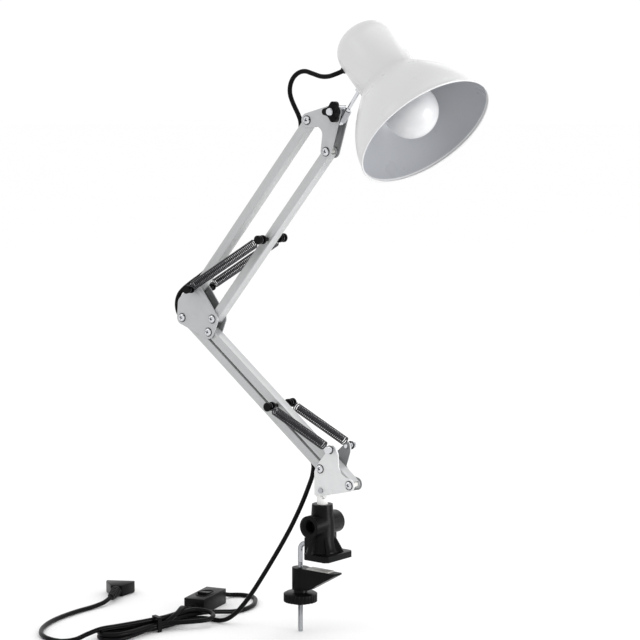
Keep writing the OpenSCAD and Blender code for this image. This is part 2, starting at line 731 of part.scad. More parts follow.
// The hank is a bundle of turns with round ends and a waist under its tie
hank_mid = [-192, 17];
hank_turn = 35;
hank_half = 57.5;    // from the middle to the centre of a round end
fold_r = 16.2;       // radius of the cord's middle in a fold
hank_h = 3 * cord_d;
waist = 5.6;         // half width under the tie
function hank_side(u) =
    waist + (fold_r + cord_r - waist) * (1 - cos(180 * u / hank_half)) / 2;

// Puts its children on the floor at the hank's middle, +X along it
module at_hank() {
    translate([0, 0, floor_z]) rotate([0, 0, lay_yaw]) translate(hank_mid)
        rotate([0, 0, hank_turn]) children();
}

function hank_end(side) = [for (a = [75:-15:-75])
    side * ([hank_half, 0] + (fold_r + cord_r) * [cos(a), sin(a)])];
module cord_hank() color("#141415") at_hank() linear_extrude(hank_h) {
    edge = [for (i = [-8:8]) let (u = i * hank_half / 8) [u, hank_side(u)]];
    polygon(concat(edge, hank_end(1), [for (p = edge) -p], hank_end(-1)));
}

// Band around the middle of the hank
module cord_tie() color("#0f0f10") at_hank() difference() {
    band = 1.4;
    width = 5;
    out = waist + band;
    translate([-width / 2, -out, 0]) cube([width, 2 * out, hank_h + band]);
    translate([-width, -waist - 0.05, -1]) cube([2 * width, 2 * waist + 0.1, hank_h + 1]);
}

lead_in = [[-170, 38.5, 17], [-166, 53, 18.5], [-163.5, 67, 14], [-160.5, 80, 10],
    [-155.5, 94, 9]];
lead_out = [[-130.5, 156.5, 9], [-126.5, 166.5, 7.5], [-117, 177.5, 3.5], [-102.5, 180, 2.8],
    [-89.5, 172.5, 2.8], [-84, 159, 2.8], [-83.5, 147, 2.8], [-84.5, 132, 2.8],
    [-89.5, 118, 2.8], [-98, 105, 2.8], [-109, 95, 3.5], [-122, 86, 5.5], [-135, 76.5, 7.5],
    [-148.5, 67.5, 8.2]];
plug_lead = [[-252.5, -25.5, 13.4], [-266, -34, 10], [-280, -40, 5], [-296, -39, 2.8],
    [-311, -29, 2.8], [-321, -13, 2.8], [-325, 6, 2.8], [-324, 28, 2.8], [-318, 52, 2.8],
    [-307, 76, 2.8], [-293, 99, 2.8], [-278, 119, 2.8], [-266.5, 134, 4.5],
    [-259.8, 147.4, 7.5]];
module switch_and_plug_leads() color("#141415")
    for (route = [lead_in, lead_out, plug_lead]) tube(laid_all(route), cord_r);

switch_mid = [-143, 125.5];
switch_yaw = 68;
// Puts its children on the switch, +X along the cord, its underside on the floor
module at_switch() {
    translate(laid([switch_mid[0], switch_mid[1], 0])) rotate([0, 0, lay_yaw + switch_yaw])
        children();
}
rocker_z = 17;       // height of the rocker's pivot
switch_half = 31;
switch_side = 13;
switch_h = 18;
lead_z = 9;          // height of the cord at the switch
module inline_switch() color("#131314") at_switch() difference() {
    union() {
        translate([-switch_half, -switch_side, 0.2])
            cube([2 * switch_half, 2 * switch_side, switch_h]);
        for (side = [-1, 1]) translate([side * switch_half, 0, lead_z])
            rotate([0, side * 90, 0]) cylinder(r1 = 5, r2 = 3.6, h = 5);
    }
    for (side = [-1, 1]) translate([side * (switch_half + 1.5), 0, lead_z])
        rotate([0, side * 90, 0]) cylinder(r = cord_r, h = 5);
    translate([-10, -6, 12]) cube([20, 12, 10]);
    pin_y([0, rocker_z], 1 + run_gap, -7.5, 7.5);
}

module switch_rocker() color("#202122") at_switch() {
    slab_y(-5.6, 5.6) polygon([[-9, 17], [9, 17], [9, 18.4], [4, 19.2], [0, 19.6],
        [-4, 20.6], [-9, 21.6]]);
    slab_y(-5.6, 5.6) polygon([[-3, 14], [3, 14], [6, 17.5], [-6, 17.5]]);
    pin_y([0, rocker_z], 1, -7.3, 7.3);
}

// Puts its children on the plug, +X towards the pins, its underside on the floor
module at_plug() {
    translate(laid([-260, 147, 0])) rotate([0, 0, lay_yaw + 84]) children();
}
pin_pitch = 19;      // spacing of the plug's two pins
plug_pin_r = 1.9;
plug_z = 7.5;        // height of the plug's axis
relief = 34;         // length of the plug's strain relief
face = relief + 26;  // where the pins leave the plug
module mains_plug() color("#131314") at_plug() difference() {
    union() {
        translate([0, 0, plug_z]) rotate([0, 90, 0]) cylinder(r1 = 3.7, r2 = 6.5, h = relief);
        translate([relief - 1, 0, 0.8]) linear_extrude(2 * (plug_z - 0.8))
            polygon([[0, -7], [22, -17.6], [27, -17.6], [27, 17.6], [22, 17.6], [0, 7]]);
    }
    for (side = [-1, 1]) translate([face - 12, side * pin_pitch / 2, plug_z])
        rotate([0, 90, 0]) cylinder(r = plug_pin_r, h = 14);
    translate([-1, 0, plug_z]) rotate([0, 90, 0]) cylinder(r = cord_r, h = 5);
}

module plug_pins() color("#c9a65a") at_plug() for (side = [-1, 1])
    translate([face - 12, side * pin_pitch / 2, plug_z]) rotate([0, 90, 0])
        cylinder(r = plug_pin_r, h = 31);

// ---------------------------------------------------------------- nodes

clamp_body();
clamp_bolt();
lower_jaw();
jaw_pad();
clamp_knob();
swivel_post();
base_plate_near();
base_plate_far();
base_rivet();
base_screws();
base_nuts();
base_spring_studs();
lower_front_bar();
lower_rear_bar();
lower_spring_pin();
lower_spring_spools();
lower_springs();
lower_bushes_front();
lower_bushes_rear();
elbow_plate_near();
elbow_plate_far();
elbow_screws();
elbow_nuts();
elbow_anchor_pin();
elbow_spools();
upper_front_bar();
upper_rear_bar();
upper_spring_pin();
upper_spring_spools();
upper_springs();
upper_bushes_front();
upper_bushes_rear();
head_plate_near();
head_plate_far();
head_screws();
head_nuts();
knuckle();
tilt_screw();
tilt_knob();
stem();
shade();
neck_grommet();
holder_bracket();
lampholder();
holder_contacts();
bulb_globe();
bulb_cap();
neck_cord();
head_cord();
bar_cord_upper();
elbow_cord();
bar_cord_lower();
mains_lead();
cord_hank();
cord_tie();
switch_and_plug_leads();
inline_switch();
switch_rocker();
mains_plug();
plug_pins();
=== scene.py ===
"""Looks of a swing arm desk lamp: its cords, springs, shade, bulb, fittings and materials.

Everything is in metres, in the same frame as the CAD model. mm() turns millimetres into metres.
"""
import json
import math

import bmesh
import bpy
from mathutils import Matrix, Vector

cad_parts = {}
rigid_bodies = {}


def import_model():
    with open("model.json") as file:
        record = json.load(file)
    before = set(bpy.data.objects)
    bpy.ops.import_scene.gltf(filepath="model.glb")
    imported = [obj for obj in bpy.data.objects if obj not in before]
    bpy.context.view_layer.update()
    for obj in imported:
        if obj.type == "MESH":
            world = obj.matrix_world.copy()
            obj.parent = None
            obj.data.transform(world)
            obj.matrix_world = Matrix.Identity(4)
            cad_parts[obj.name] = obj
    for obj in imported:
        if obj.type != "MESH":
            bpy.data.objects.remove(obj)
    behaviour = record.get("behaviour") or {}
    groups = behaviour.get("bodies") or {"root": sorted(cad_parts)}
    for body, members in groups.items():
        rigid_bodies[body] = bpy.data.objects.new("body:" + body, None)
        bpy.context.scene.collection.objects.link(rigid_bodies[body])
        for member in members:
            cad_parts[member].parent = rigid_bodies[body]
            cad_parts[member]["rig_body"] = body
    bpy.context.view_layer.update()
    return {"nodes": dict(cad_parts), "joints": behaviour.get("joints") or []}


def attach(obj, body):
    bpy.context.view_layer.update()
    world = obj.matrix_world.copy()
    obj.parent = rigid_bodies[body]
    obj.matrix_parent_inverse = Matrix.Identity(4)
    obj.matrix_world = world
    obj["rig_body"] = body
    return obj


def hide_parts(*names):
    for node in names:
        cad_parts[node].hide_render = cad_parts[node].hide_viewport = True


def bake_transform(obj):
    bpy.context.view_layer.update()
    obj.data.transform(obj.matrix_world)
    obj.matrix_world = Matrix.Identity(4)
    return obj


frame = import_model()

NODES = frame["nodes"]
JOINTS = {joint["name"]: joint for joint in frame["joints"]}


def mm(*values):
    """Millimetres as metres: one number, or a Vector of three."""
    if len(values) == 1:
        return values[0] / 1000
    return Vector(values) / 1000


def joint_at(name):
    """The place of a joint at rest."""
    return Vector(JOINTS[name]["pos_m"])


# ---------------------------------------------------------------- sizes

CORD_R = mm(2.7)
FLOOR_Z = mm(-92)

LOWER_ANGLE = math.radians(143)
UPPER_ANGLE = math.radians(49.5)
BAR = mm(263)
BASE_REAR = joint_at("lower_arm")
BASE_FRONT = joint_at("lower_front_link")
ELBOW_FRONT = joint_at("upper_front_link")
ELBOW_TOP = joint_at("upper_arm")
HEAD_REAR = joint_at("head_level")
BASE_STUD = mm(26, 0, 130)
SPRING_Y = mm(19.2)

NECK_R = mm(34.7)
MOUTH_R = mm(80)
BELL_DEPTH = mm(76)
SHADE_DEPTH = mm(150)
NECK_CORNER = mm(24)
WALL = mm(1.2)
STEM_LEVEL = mm(101)
BELL_CURVE = 1.75
BELL_INSET = mm(0.9)
RIM_R = mm(1.2)
RIM_LEVEL = mm(0.9)
SHADE_SEGMENTS = 192

BOLT_X = mm(-32.5)
BOLT_R = mm(3)


def polar(point, distance, angle):
    """A point in the plane of the arms, at that distance and angle above +X."""
    return point + distance * Vector((math.cos(angle), 0, math.sin(angle)))


def in_bar(pivot, angle, along, out):
    """A point inside a channel bar, in millimetres from its pivot and out of its open side."""
    return polar(polar(pivot, mm(along), angle), mm(out), angle + math.pi / 2)


ELBOW_REAR = joint_at("elbow_level")
ELBOW_LOW = polar(BASE_FRONT, BAR, LOWER_ANGLE)
HEAD_FRONT = polar(ELBOW_FRONT, BAR, UPPER_ANGLE)
PLATE_FACE = mm(8.2)
LOWER_PIN = polar(BASE_FRONT, 0.51 * BAR, LOWER_ANGLE)
UPPER_PIN = polar(ELBOW_FRONT, 0.49 * BAR, UPPER_ANGLE)

STEM_FOOT = joint_at("shade_swivel")
STEM_AXIS = Vector(JOINTS["shade_swivel"]["axis"])
STEM_WALL = STEM_FOOT + mm(38.5) * STEM_AXIS
IN_SHADE = (
    Matrix.Translation(STEM_WALL)
    @ Matrix.Rotation(math.radians(-5), 4, STEM_AXIS)
    @ Matrix.Rotation(math.radians(-44.4), 4, "Y")
    @ Matrix.Translation((NECK_R, 0, -STEM_LEVEL))
)

LAY = Matrix.Translation((0, 0, FLOOR_Z)) @ Matrix.Rotation(math.radians(38), 4, "Z")
AT_HANK = LAY @ Matrix.Translation(mm(-192, 17, 0)) @ Matrix.Rotation(math.radians(35), 4, "Z")
AT_SWITCH = LAY @ Matrix.Translation(mm(-143, 125.5, 0)) @ Matrix.Rotation(math.radians(68), 4, "Z")
AT_PLUG = LAY @ Matrix.Translation(mm(-260, 147, 0)) @ Matrix.Rotation(math.radians(84), 4, "Z")


# ---------------------------------------------------------------- mesh helpers


def add_mesh(name, points, faces, material, smooth=40):
    """A new object from points and faces, shaded smooth where faces meet under that angle."""
    mesh = bpy.data.meshes.new(name)
    mesh.from_pydata([tuple(p) for p in points], [], faces)
    mesh.validate()
    piece = bpy.data.objects.new(name, mesh)
    bpy.context.scene.collection.objects.link(piece)
    return finish_mesh(piece, material, smooth)


def finish_mesh(piece, material, smooth=40):
    """Outward normals, smooth shading with hard edges kept, and the material."""
    work = bmesh.new()
    work.from_mesh(piece.data)
    bmesh.ops.recalc_face_normals(work, faces=work.faces)
    for edge in work.edges:
        edge.smooth = len(edge.link_faces) < 2 or edge.calc_face_angle(0) < math.radians(smooth)
    for face in work.faces:
        face.smooth = True
    work.to_mesh(piece.data)
    work.free()
    piece.data.materials.clear()
    piece.data.materials.append(material)
    return piece


def turned(outline, segments=96, matrix=None, closed=True):
    """Points and faces of an outline of [radius, height] turned about Z."""
    points = []
    for radius, height in outline:
        for k in range(segments):
            angle = 2 * math.pi * k / segments
            points.append(Vector((radius * math.cos(angle), radius * math.sin(angle), height)))
    if matrix is not None:
        points = [matrix @ p for p in points]
    rows = len(outline)
    faces = []
    for i in range(rows if closed else rows - 1):
        a, b = i * segments, (i + 1) % rows * segments
        for k in range(segments):
            n = (k + 1) % segments
            faces.append((a + k, a + n, b + n, b + k))
    return points, faces


def joined(parts):
    """One list of points and faces from several."""
    points, faces = [], []
    for some_points, some_faces in parts:
        shift = len(points)
        points += list(some_points)
        faces += [tuple(shift + i for i in face) for face in some_faces]
    return points, faces


def swept(path, radius, sides=16):
    """A round tube along a path, with its ends closed."""
    count = len(path)
    normal = None
    points = []
    for i, centre in enumerate(path):
        heading = (path[min(i + 1, count - 1)] - path[max(i - 1, 0)]).normalized()
        if normal is None:
            normal = heading.orthogonal()
        normal = (normal - heading * normal.dot(heading)).normalized()
        side = heading.cross(normal)
        for k in range(sides):
            angle = 2 * math.pi * k / sides
            points.append(centre + radius * (math.cos(angle) * normal + math.sin(angle) * side))
    faces = []
    for i in range(count - 1):
        for k in range(sides):
            a, n = i * sides, (k + 1) % sides
            faces.append((a + k, a + n, a + sides + n, a + sides + k))
    faces.append(tuple(range(sides))[::-1])
    faces.append(tuple((count - 1) * sides + k for k in range(sides)))
    return points, faces


def flowing(points, step=0.002):
    """A smooth curve through the points, sampled about every step."""
    points = [Vector(p) for p in points]
    ends = [2 * points[0] - points[1]] + points + [2 * points[-1] - points[-2]]
    curve = []
    for a, b, c, d in zip(ends, ends[1:], ends[2:], ends[3:]):
        ta = 0
        tb = ta + math.sqrt((b - a).length)
        tc = tb + math.sqrt((c - b).length)
        td = tc + math.sqrt((d - c).length)
        count = max(2, round((c - b).length / step))
        for i in range(count):
            t = tb + (tc - tb) * i / count
            p1 = (a * (tb - t) + b * (t - ta)) / (tb - ta)
            p2 = (b * (tc - t) + c * (t - tb)) / (tc - tb)
            p3 = (c * (td - t) + d * (t - tc)) / (td - tc)
            q1 = (p1 * (tc - t) + p2 * (t - ta)) / (tc - ta)
            q2 = (p2 * (td - t) + p3 * (t - tb)) / (td - tb)
            curve.append((q1 * (tc - t) + q2 * (t - tb)) / (tc - tb))
    return curve + [points[-1]]


def above_floor(path):
    """The path with no point lower than a cord lying on the floor."""
    return [Vector((p.x, p.y, max(p.z, FLOOR_Z + CORD_R))) for p in path]


def eased(node, material, width):
    """A copy of a CAD node with flat faces joined and its sharp edges rounded, in its place."""
    same_point, flat_angle, sharp_angle = 1e-6, math.radians(0.6), math.radians(38)
    source = NODES[node]
    piece = bpy.data.objects.new(node + "_eased", source.data.copy())
    bpy.context.scene.collection.objects.link(piece)
    work = bmesh.new()
    work.from_mesh(piece.data)
    bmesh.ops.remove_doubles(work, verts=work.verts, dist=same_point)
    bmesh.ops.dissolve_limit(work, angle_limit=flat_angle, verts=work.verts, edges=work.edges)
    work.to_mesh(piece.data)
    work.free()
    bevel = piece.modifiers.new("ease", "BEVEL")
    bevel.width = mm(width)
    bevel.segments = 2
    bevel.limit_method = "ANGLE"
    bevel.angle_limit = sharp_angle
    baked = bpy.data.meshes.new_from_object(
        piece.evaluated_get(bpy.context.evaluated_depsgraph_get()))
    piece.modifiers.clear()
    piece.data = baked
    finish_mesh(piece, material)
    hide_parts(node)
    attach(piece, source["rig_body"])
    return piece


# ---------------------------------------------------------------- materials

NOISE_LOW, NOISE_HIGH = 0.3, 0.7
COAT_ROUGHNESS = 0.12
GLOSS_SCALE = 2.3


def new_material(name):
    """A new material, with its node tree and its shader."""
    material = bpy.data.materials.new(name)
    material.use_nodes = True
    tree = material.node_tree
    shader = tree.nodes["Principled BSDF"]
    return material, tree, shader


def noise(tree, scale, detail=4):
    """A noise texture in the object's own coordinates, its scale in waves a metre."""
    place = tree.nodes.new("ShaderNodeTexCoord")
    texture = tree.nodes.new("ShaderNodeTexNoise")
    texture.inputs["Scale"].default_value = scale
    texture.inputs["Detail"].default_value = detail
    tree.links.new(place.outputs["Object"], texture.inputs["Vector"])
    return texture.outputs["Fac"]


def spread(tree, value, low, high):
    """The usual range of a noise value, spread from low to high."""
    node = tree.nodes.new("ShaderNodeMapRange")
    node.inputs["From Min"].default_value = NOISE_LOW
    node.inputs["From Max"].default_value = NOISE_HIGH
    node.inputs["To Min"].default_value = low
    node.inputs["To Max"].default_value = high
    tree.links.new(value, node.inputs["Value"])
    return node.outputs["Result"]


def two_colours(tree, value, first, second):
    """A colour from first to second as the value goes from 0 to 1."""
    node = tree.nodes.new("ShaderNodeMix")
    node.data_type = "RGBA"
    node.inputs["A"].default_value = (*first, 1)
    node.inputs["B"].default_value = (*second, 1)
    tree.links.new(value, node.inputs["Factor"])
    return node.outputs["Result"]


def bump(tree, shader, value, distance):
    """Relief of that depth in millimetres."""
    node = tree.nodes.new("ShaderNodeBump")
    node.inputs["Strength"].default_value = 1
    node.inputs["Distance"].default_value = mm(distance)
    tree.links.new(value, node.inputs["Height"])
    tree.links.new(node.outputs["Normal"], shader.inputs["Normal"])


def surface(name, colour, rough, metal=0.0, spread_by=0.04, tint=0.05, scale=90,
            grain=900, depth=0.01, coat=0.0, specular=0.5):
    """A surface with slight changes of colour and gloss, and a fine grain."""
    material, tree, shader = new_material(name)
    shader.inputs["Metallic"].default_value = metal
    shader.inputs["Specular IOR Level"].default_value = specular
    shader.inputs["Coat Weight"].default_value = coat
    shader.inputs["Coat Roughness"].default_value = COAT_ROUGHNESS
    cloud = noise(tree, scale)
    darker = [c * (1 - tint) for c in colour]
    mixed = two_colours(tree, spread(tree, cloud, 0, 1), darker, colour)
    tree.links.new(mixed, shader.inputs["Base Color"])
    rough_value = spread(tree, noise(tree, scale * GLOSS_SCALE),
                         rough - spread_by, rough + spread_by)
    tree.links.new(rough_value, shader.inputs["Roughness"])
    bump(tree, shader, noise(tree, grain, 2), depth)
    return material


def frosted_glass():
    """The white frosted glass of the bulb, which lets a little light in."""
    material, tree, shader = new_material("frosted_bulb")
    shader.inputs["Subsurface Weight"].default_value = 0.35
    shader.inputs["Subsurface Radius"].default_value = (0.01, 0.01, 0.01)
    shader.inputs["Subsurface Scale"].default_value = 0.5
    shader.inputs["Coat Weight"].default_value = 0.35
    shader.inputs["Coat Roughness"].default_value = 0.2
    cloud = spread(tree, noise(tree, 60), 0, 1)
    tree.links.new(two_colours(tree, cloud, (0.58, 0.585, 0.6), (0.66, 0.66, 0.67)),
                   shader.inputs["Base Color"])
    tree.links.new(spread(tree, noise(tree, 300), 0.3, 0.4), shader.inputs["Roughness"])
    bump(tree, shader, noise(tree, 2500, 2), 0.004)
    return material


SHADE_PAINT = surface("shade_enamel", (0.62, 0.62, 0.625), 0.3, scale=14, tint=0.02,
                      spread_by=0.03, grain=260, depth=0.004, coat=0.12, specular=0.35)
# painted shade: a darker, bluer grey for the inside of the lampshade, standing for the shade inside
# it
INSIDE_SHADOW_PAINT = surface("lampshade_inside_painted_shade", (0.36, 0.37, 0.395), 0.3, scale=14, tint=0.03,
                       grain=260, depth=0.004, specular=0.35)
SILVER_PAINT = surface("silver_paint", (0.47, 0.475, 0.48), 0.34, metal=0.25, tint=0.05,
                       grain=2200, depth=0.006)
GREY_PAINT = surface("grey_paint", (0.46, 0.465, 0.475), 0.36, metal=0.25, tint=0.05,
                     grain=2200, depth=0.006)
LIGHT_PAINT = surface("light_grey_paint", (0.68, 0.685, 0.69), 0.34, metal=0.15, tint=0.04,
                      grain=1800, depth=0.006)
# painted shade: a darker grey for the inner faces of the side plates, where shade falls between the
# plates
INNER_FACE_SHADE = surface("plate_inner_painted_shade", (0.24, 0.245, 0.25), 0.4, metal=0.2, tint=0.06,
                     grain=2200, depth=0.006)
WHITE_PAINT = surface("white_paint", (0.82, 0.82, 0.81), 0.3, tint=0.03, coat=0.2)
BLACK_PLASTIC = surface("black_plastic", (0.0035, 0.0035, 0.004), 0.34, tint=0.25, scale=120,
                        grain=1500, depth=0.02, specular=0.08)
GLOSS_BLACK = surface("gloss_black_plastic", (0.008, 0.008, 0.009), 0.2, tint=0.2,
                      specular=0.3)
CORD_PVC = surface("cord_pvc", (0.003, 0.003, 0.0035), 0.32, tint=0.3, scale=200,
                   grain=1200, depth=0.015, spread_by=0.06, specular=0.08)
PAD = surface("pale_pad", (0.5, 0.49, 0.47), 0.7, tint=0.12, grain=1400, depth=0.04)
CHROME = surface("chrome", (0.64, 0.65, 0.67), 0.1, metal=1, spread_by=0.03, tint=0.03)
STEEL = surface("zinc_steel", (0.4, 0.41, 0.43), 0.22, metal=1, spread_by=0.04, tint=0.06,
                scale=120, grain=2500, depth=0.004)
SPRING_STEEL = surface("spring_steel", (0.06, 0.06, 0.065), 0.18, metal=1, spread_by=0.06,
                       tint=0.25, scale=300)
DARK_STEEL = surface("blackened_steel", (0.03, 0.03, 0.032), 0.4, metal=1, tint=0.2,
                     scale=220, grain=2500, depth=0.01)
BRASS = surface("brass", (0.78, 0.58, 0.28), 0.24, metal=1, spread_by=0.06, tint=0.12)
NYLON = surface("nylon", (0.7, 0.7, 0.67), 0.5, tint=0.06)
CAP_METAL = surface("bulb_cap_metal", (0.68, 0.69, 0.71), 0.3, metal=1, tint=0.08)
BULB_GLASS = frosted_glass()


# ---------------------------------------------------------------- camera, floor and light


def add_camera():
    """A long lens, a little above level and to the right of the front."""
    azimuth, elevation, distance = math.radians(38.66), math.radians(6.52), 2.4
    target = Vector((-0.0035, 0, 0.2731))
    back = Vector((math.sin(azimuth) * math.cos(elevation),
                   -math.cos(azimuth) * math.cos(elevation), math.sin(elevation)))
    data = bpy.data.cameras.new("camera")
    data.sensor_width = 36
    data.lens = 119.2
    data.clip_end = 100
    camera = bpy.data.objects.new("camera", data)
    camera.location = target + distance * back
    camera.rotation_euler = back.to_track_quat("Z", "Y").to_euler()
    bpy.context.scene.collection.objects.link(camera)
    bpy.context.scene.camera = camera


def add_area_light(name, place, size, power):
    """A round soft light at a place, turned towards the middle of the lamp."""
    aim = Vector((0, 0, 0.25))
    data = bpy.data.lights.new(name, "AREA")
    data.shape = "DISK"
    data.size = size
    data.energy = power
    light = bpy.data.objects.new(name, data)
    light.location = place
    light.rotation_euler = (Vector(place) - aim).to_track_quat("Z", "Y").to_euler()
    bpy.context.scene.collection.objects.link(light)


def add_studio():
    """A white world and floor, with three soft lights."""
    floor_r, floor_hole, below = 30, 0.001, 0.0002
    world = bpy.data.worlds.new("studio")
    world.use_nodes = True
    world.node_tree.nodes["Background"].inputs["Color"].default_value = (1, 1, 1, 1)
    world.node_tree.nodes["Background"].inputs["Strength"].default_value = 1.03
    bpy.context.scene.world = world
    bpy.context.scene.view_settings.view_transform = "Standard"
    points, faces = turned([(floor_hole, FLOOR_Z - below), (floor_r, FLOOR_Z - below)], 64,
                           closed=False)
    floor = add_mesh("floor", points, faces,
                     surface("floor_paper", (0.97, 0.97, 0.97), 0.9, tint=0.005, scale=2))
    add_area_light("key", (-1.4, -2.2, 2.2), 1.4, 5)
    add_area_light("fill", (2.6, 0.7, 0.15), 1.2, 50)
    add_area_light("back", (-0.8, 2.6, 1.8), 1.6, 6)


# ---------------------------------------------------------------- cord routes


def from_shade(x, y, z):
    """A point in millimetres in the shade's own frame."""
    return IN_SHADE @ mm(x, y, z)


def flat(points):
    """Points in the plane of the arms, from pairs of millimetres."""
    return [mm(x, 0, z) for x, z in points]


def laid(points):
    """Points in the frame of the cord that lies on the floor."""
    return [LAY @ mm(*p) for p in points]


def on_hank(points):
    """Points in the hank's own frame."""
    return [AT_HANK @ mm(*p) for p in points]


HEAD_LOOP = flat([
    (18, 549.5), (8.5, 547.2), (-2, 547.2), (-14, 550.3), (-25.2, 553), (-34.5, 551.2),
    (-42.1, 545.6), (-46.5, 537.2), (-47, 528.4), (-44.3, 520.5), (-34.1, 502.8),
    (-31.7, 497), (-31.4, 489), (-33.6, 481.5), (-39.8, 473.5)])
HOLE_TILT = math.radians(20)


def out_of_hole(distance):
    """A point that far in millimetres out of the cord's hole in the neck."""
    return from_shade(-33.8 - distance * math.cos(HOLE_TILT), 0,
                      131 + distance * math.sin(HOLE_TILT))


NECK_START = [out_of_hole(4.3), out_of_hole(9.8)]
UPPER_RUN = [in_bar(ELBOW_TOP, UPPER_ANGLE, d, h)
             for d, h in ((227.7, 2), (180, 1.6), (130, 1.6), (46, 1.6), (32, 3.4), (20, 6),
                          (9, 9))]
ELBOW_LOOP = [ELBOW_TOP + mm(x, 0, z)
              for x, z in ((-10, 7.4), (-26, -3.4), (-31.6, -8.9), (-35, -15.6), (-36, -23.2),
                           (-34.3, -30.6), (-30.1, -37), (-25.7, -40.7))]
LOWER_RUN = [in_bar(BASE_REAR, LOWER_ANGLE, d, h)
             for d, h in ((250, 6), (240, 4.6), (231, 3.4), (220, 1.6), (120, 1.6), (32, 1.8))]
LEAD_DROP = [mm(*p) for p in (
    (-21.5, 0, 120.2), (-16, 0, 114), (-12.8, 0, 103), (-15, 0, 92), (-20, 0, 80),
    (-26.5, -0.5, 65), (-34.5, -2, 47.5), (-44, -4.5, 28), (-54.5, -8, 8), (-65.5, -12, -12),
    (-77, -16, -32), (-88, -20, -50.5), (-98, -24, -65.5), (-108, -27.5, -77.5),
    (-118.5, -30, -85.5))]
LEAD_LAND = laid([(-122, 55.5, 2.8)])
LEAD_IN = laid([(-166, 53, 18.5), (-163.5, 67, 14), (-160.5, 80, 10), (-155.5, 94, 9)])
LEAD_OUT = laid([
    (-130.5, 156.5, 9), (-126.5, 166.5, 7.5), (-117, 177.5, 3.5), (-102.5, 180, 2.8),
    (-89.5, 172.5, 2.8), (-84, 159, 2.8), (-83.5, 147, 2.8), (-84.5, 132, 2.8),
    (-89.5, 118, 2.8), (-98, 105, 2.8), (-109, 95, 3.5), (-122, 86, 5.5), (-135, 76.5, 7.5)])
PLUG_LEAD = laid([
    (-252.5, -25.5, 13.4), (-266, -34, 10), (-280, -40, 5), (-296, -39, 2.8),
    (-311, -29, 2.8), (-321, -13, 2.8), (-325, 6, 2.8), (-324, 28, 2.8), (-318, 52, 2.8),
    (-307, 76, 2.8), (-293, 99, 2.8), (-278, 119, 2.8), (-266.5, 134, 4.5),
    (-259.8, 147.4, 7.5)])

# The hank's turns, in millimetres in its own frame: half its length between the folds, the folds'
# radius, half the gap between runs at the waist, and the height of each layer
HANK_HALF = 57.5
FOLD_R = 16.2
WAIST = 2.9
LAYERS = (2.8, 8.2, 13.6)


def hank_run(side, start, end, z0, z1):
    """One run of the hank along u, on the side -1 or 1 of its middle line."""
    count = 9
    points = []
    for i in range(count + 1):
        u = start + (end - start) * i / count
        v = WAIST + (FOLD_R - WAIST) * (1 - math.cos(math.pi * u / HANK_HALF)) / 2
        points.append((u, side * v, z0 + (z1 - z0) * i / count))
    return points


def hank_fold(end, first, last, z0, z1):
    """One fold of the hank around its end -1 or 1, turning left from one angle to another."""
    step = 15
    count = max(2, round(abs(last - first) / step))
    points = []
    for i in range(count + 1):
        a = math.radians(first + (last - first) * i / count)
        points.append((end * HANK_HALF + FOLD_R * math.cos(a), FOLD_R * math.sin(a),
                       z0 + (z1 - z0) * i / count))
    return points


def without_joins(points):
    """The points without any that lies on the one before."""
    closest = 3
    kept = [points[0]]
    for point in points[1:]:
        if (Vector(point) - Vector(kept[-1])).length > closest:
            kept.append(point)
    return kept


def add_tube(name, path):
    """A stretch of cord along a path."""
    points, faces = swept(path, CORD_R)
    return add_mesh(name, points, faces, CORD_PVC, smooth=60)


def between(path, start, end):
    """The part of the path from the point nearest start to the point nearest end."""
    first = min(range(len(path)), key=lambda i: (path[i] - start).length)
    last = min(range(len(path)), key=lambda i: (path[i] - end).length)
    return path[first:last + 1]


def add_arm_cord():
    """The cord from the neck to the base, in stretches that each cross one joint."""
    route = NECK_START + HEAD_LOOP + UPPER_RUN + ELBOW_LOOP + LOWER_RUN + LEAD_DROP[:4]
    path = flowing(route)
    neck, crest, left = NECK_START[0], HEAD_LOOP[3], HEAD_LOOP[7]
    upper_in, upper_out = UPPER_RUN[0], UPPER_RUN[3]
    elbow = ELBOW_LOOP[4]
    lower_in, lower_out, base = LOWER_RUN[3], LOWER_RUN[5], LEAD_DROP[2]
    crossing = [
        ("neck_cord_shade", neck, crest, "shade", "knuckle", NECK_START[1], crest),
        ("neck_cord_knuckle", crest, left, "knuckle", "head", crest, left),
        ("head_cord_bar", left, upper_in, "head", "upper_rear", left, HEAD_LOOP[-1]),
        ("elbow_cord_upper", upper_out, elbow, "upper_rear", "elbow", upper_out, elbow),
        ("elbow_cord_lower", elbow, lower_in, "elbow", "lower_rear", elbow, lower_in),
        ("base_cord", lower_out, base, "lower_rear", "base", lower_out, base),
    ]
    stands_for = {"neck_cord_shade": ["neck_cord"], "neck_cord_knuckle": ["head_cord"],
                  "elbow_cord_upper": ["elbow_cord"]}
    for name, start, end, first, second, blend_from, blend_to in crossing:
        piece = add_tube(name, between(path, start, end))
        if name in stands_for:
            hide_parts(*stands_for[name])
        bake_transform(piece)
    for name, start, end, body in (("upper_bar_cord", upper_in, upper_out, "upper_rear"),
                                   ("lower_bar_cord", lower_in, lower_out, "lower_rear")):
        piece = add_tube(name, between(path, start, end))
        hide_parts("bar_cord_upper" if body == "upper_rear" else "bar_cord_lower")
        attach(piece, body)


def add_mains_cord():
    """The free cord from the base, through one turn of the hank, into the switch."""
    low = LAYERS[0]
    turn = (hank_fold(1, 25, 90, low, low)
            + hank_run(1, HANK_HALF, -HANK_HALF, low, low)
            + hank_fold(-1, 90, 270, low, low)
            + hank_run(-1, -HANK_HALF, 0, low, low + 3)
            + [(15, -1.5, 11), (30, 5, 16)])
    route = LEAD_DROP[2:] + LEAD_LAND + on_hank(without_joins(turn)) + LEAD_IN
    path = above_floor(flowing(route))
    piece = add_tube("mains_cord", path)
    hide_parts("mains_lead", "cord_hank")
    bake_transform(piece)
    return piece, path


